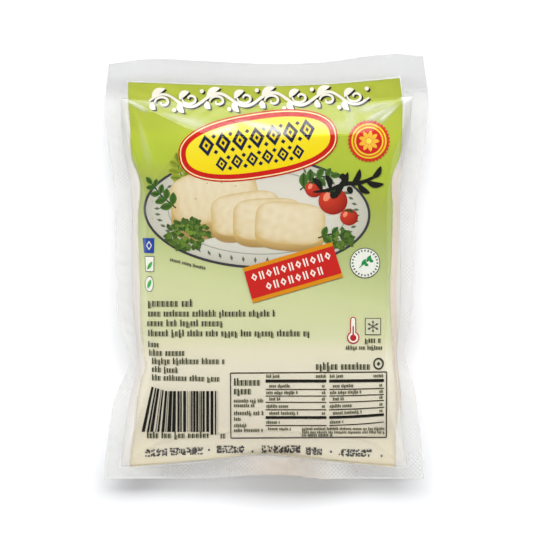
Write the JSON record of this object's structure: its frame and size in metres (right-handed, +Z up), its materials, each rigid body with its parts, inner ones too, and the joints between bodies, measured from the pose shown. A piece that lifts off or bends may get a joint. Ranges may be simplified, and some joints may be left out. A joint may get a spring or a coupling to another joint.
{
  "type": "vacuum-packed halloumi block",
  "caption": "Soft rectangular cheese block sealed in a close-fitting clear film pouch with a printed face and a flat welded rim, lying on its back.",
  "frame": {"origin": "middle of the pack's plan, on the flat face that it rests on", "axes": "+X across the pack to the right of the print, +Y along the pack to the top of the print, +Z up out of the printed face"},
  "size_m": [0.1122, 0.1468, 0.0234],
  "materials": {
    "printed_film": "clear heat-welded film over a pale cheese, printed in green and cream on its upper face"
  },
  "bodies": {
    "root": {"sealed_pouch": "printed_film"}
  },
  "joints": []
}
